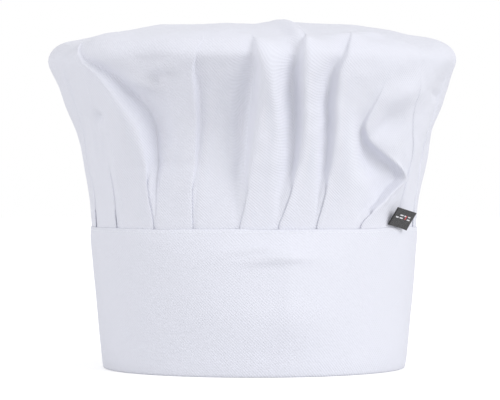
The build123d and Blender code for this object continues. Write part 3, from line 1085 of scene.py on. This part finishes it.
def label_mesh():
    """A ribbon folded in half: up its front leaf, over the fold and down its back leaf."""
    origin, x_dir, y_dir, z_dir = label_frame()
    apart = (LEAF + LEAF_GAP) / 2
    bend = [(LABEL_H - 0.45 + 0.3 * math.sin(t), apart * math.cos(t)) for t in np.linspace(0, math.pi, 9)]
    line = [(y, apart) for y in np.linspace(0.15, LABEL_H - 0.6, 22)] + bend
    line += [(y, -apart) for y in np.linspace(LABEL_H - 0.6, 0.15, 22)]
    line = np.array(line)
    cut = lengths_along(line)
    verts, uv = [], []
    for x in np.linspace(-LABEL_W / 2 + 0.15, LABEL_W / 2 - 0.15, 34):
        off_middle = (2 * x / LABEL_W) ** 2
        across = x * (1 - 0.02 * np.sin(math.pi * np.clip(line[:, 0] / LABEL_H, 0, 1)))
        up = line[:, 0] + 0.35 * (1 - off_middle) * (1 - line[:, 0] / LABEL_H) ** 2
        out = line[:, 1] * (1 - 0.024 * off_middle)
        verts.append(origin + across[:, None] * x_dir + up[:, None] * y_dir + out[:, None] * z_dir)
        uv.append(np.column_stack([np.full(len(line), x), cut]))
    return np.vstack(verts), grid_faces(34, len(line)), np.vstack(uv), cut[-1]


def label_material(name):
    """Black woven satin with a few plain pale bars and one red one."""
    mat, nodes, links, shader = new_material(name)
    flat = node(nodes, "ShaderNodeUVMap", uv_map="flat")
    parts = node(nodes, "ShaderNodeSeparateXYZ")
    links.new(flat.outputs[0], parts.inputs[0])
    across, up = parts.outputs["X"], parts.outputs["Y"]

    def bar(x, y, half_x, half_y):
        """1 inside a small rectangle of the ribbon, 0 outside."""
        inside_x = math_node(nodes, links, "COMPARE", across, x * MM, half_x * MM)
        inside_y = math_node(nodes, links, "COMPARE", up, y * MM, half_y * MM)
        return math_node(nodes, links, "MULTIPLY", inside_x, inside_y)

    pale = bar(-5.2, 6.4, 1.2, 0.4)
    for x, y, half in ((-2.2, 8.2, 1.4), (0.9, 8.2, 0.9), (-1.6, 6.4, 1.4), (4.6, 8.2, 1.0), (5.0, 6.4, 1.3)):
        pale = math_node(nodes, links, "ADD", pale, bar(x, y, half, 0.4))
    red = bar(2.0, 7.3, 0.45, 1.4)
    rib = along(nodes, links, flat.outputs[0], (0, 1), 0.28 * MM)
    warp = along(nodes, links, flat.outputs[0], (1, 0), 0.3 * MM)
    high = math_node(nodes, links, "MULTIPLY_ADD", warp, 0.5, rib)
    bump = node(nodes, "ShaderNodeBump", Strength=1.0, Distance=0.03 * MM)
    links.new(high, bump.inputs["Height"])
    links.new(bump.outputs["Normal"], shader.inputs["Normal"])
    first = node(nodes, "ShaderNodeMix", data_type="RGBA")
    first.inputs["A"].default_value = (0.012, 0.012, 0.014, 1)
    first.inputs["B"].default_value = (0.75, 0.75, 0.78, 1)
    links.new(pale, first.inputs["Factor"])
    second = node(nodes, "ShaderNodeMix", data_type="RGBA")
    second.inputs["B"].default_value = (0.6, 0.03, 0.03, 1)
    links.new(red, second.inputs["Factor"])
    links.new(first.outputs["Result"], second.inputs["A"])
    links.new(second.outputs["Result"], shader.inputs["Base Color"])
    shader.inputs["Roughness"].default_value = 0.6
    shader.inputs["Sheen Weight"].default_value = 0.3
    return mat


points, faces, coords, ribbon = label_mesh()
label = add_mesh("label_ribbon", points, faces, coords, label_material("label"))
thicken(label, LEAF - 0.02)
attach(label, "label")
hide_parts("woven_label")

# ---- CAD nodes that stay showing ------------------------------------------------------------------

for name in ("band_stiffener", "tab_stiffener"):
    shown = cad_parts[name]
    if not shown.material_slots:
        shown.data.materials.append(stiff_mat)
    for place in shown.material_slots:
        place.material = stiff_mat

# ---- Stage, light and camera ----------------------------------------------------------------------


def ground(name, height, glow):
    """A wide pale plane, which may glow a little so that it reads as white."""
    bpy.ops.mesh.primitive_plane_add(size=8, location=(0, 1.5, height))
    plane = bpy.context.object
    plane.name = name
    mat, _, _, shader = new_material(name)
    shader.inputs["Base Color"].default_value = (0.8, 0.8, 0.8, 1)
    shader.inputs["Roughness"].default_value = 0.9
    shader.inputs["Emission Color"].default_value = (1, 1, 1, 1)
    shader.inputs["Emission Strength"].default_value = glow
    plane.data.materials.append(mat)
    return plane


# The floor is what the camera sees, and the bounce just below it is what throws light back at the hat.
floor = ground("floor", 0, 0.35)
floor.visible_diffuse = floor.visible_shadow = False
bounce = ground("bounce", -0.003, 0.0)
bounce.visible_camera = False


def soft_sun(name, place, strength, angle):
    """A very soft far light that shines from this direction."""
    data = bpy.data.lights.new(name, "SUN")
    data.energy, data.angle = strength, math.radians(angle)
    obj = bpy.data.objects.new(name, data)
    obj.rotation_euler = Vector(place).to_track_quat("Z", "Y").to_euler()
    bpy.context.scene.collection.objects.link(obj)


world = bpy.data.worlds.new("studio")
world.use_nodes = True
sky_nodes, sky_links = world.node_tree.nodes, world.node_tree.links
seen, lit = sky_nodes["Background"], sky_nodes.new("ShaderNodeBackground")
seen.inputs["Color"].default_value = (1, 1, 1, 1)
lit.inputs["Color"].default_value = (1, 1, 1, 1)
lit.inputs["Strength"].default_value = 0.80
ray, either = sky_nodes.new("ShaderNodeLightPath"), sky_nodes.new("ShaderNodeMixShader")
sky_links.new(ray.outputs["Is Camera Ray"], either.inputs["Fac"])
sky_links.new(lit.outputs[0], either.inputs[1])
sky_links.new(seen.outputs[0], either.inputs[2])
sky_links.new(either.outputs[0], sky_nodes["World Output"].inputs["Surface"])
bpy.context.scene.world = world
soft_sun("key", (1.0, -0.75, 0.6), 1.35, 30)
soft_sun("fill", (-1.0, -0.45, 0.25), 0.8, 50)
bpy.context.scene.view_settings.view_transform = "Standard"

SENSOR = 36.0
EYE, AIM = Vector((-0.0024, -1.837, 0.121)), Vector((-0.0024, 0, 0.1019))
VIEW_WIDTH = 0.305  # what the picture takes in from side to side, at the hat's middle
camera_data = bpy.data.cameras.new("camera")
camera_data.sensor_width = SENSOR
camera_data.lens = SENSOR * -EYE.y / VIEW_WIDTH
camera = bpy.data.objects.new("camera", camera_data)
camera.location = EYE
camera.rotation_euler = (AIM - EYE).to_track_quat("-Z", "Y").to_euler()
bpy.context.scene.collection.objects.link(camera)
bpy.context.scene.camera = camera
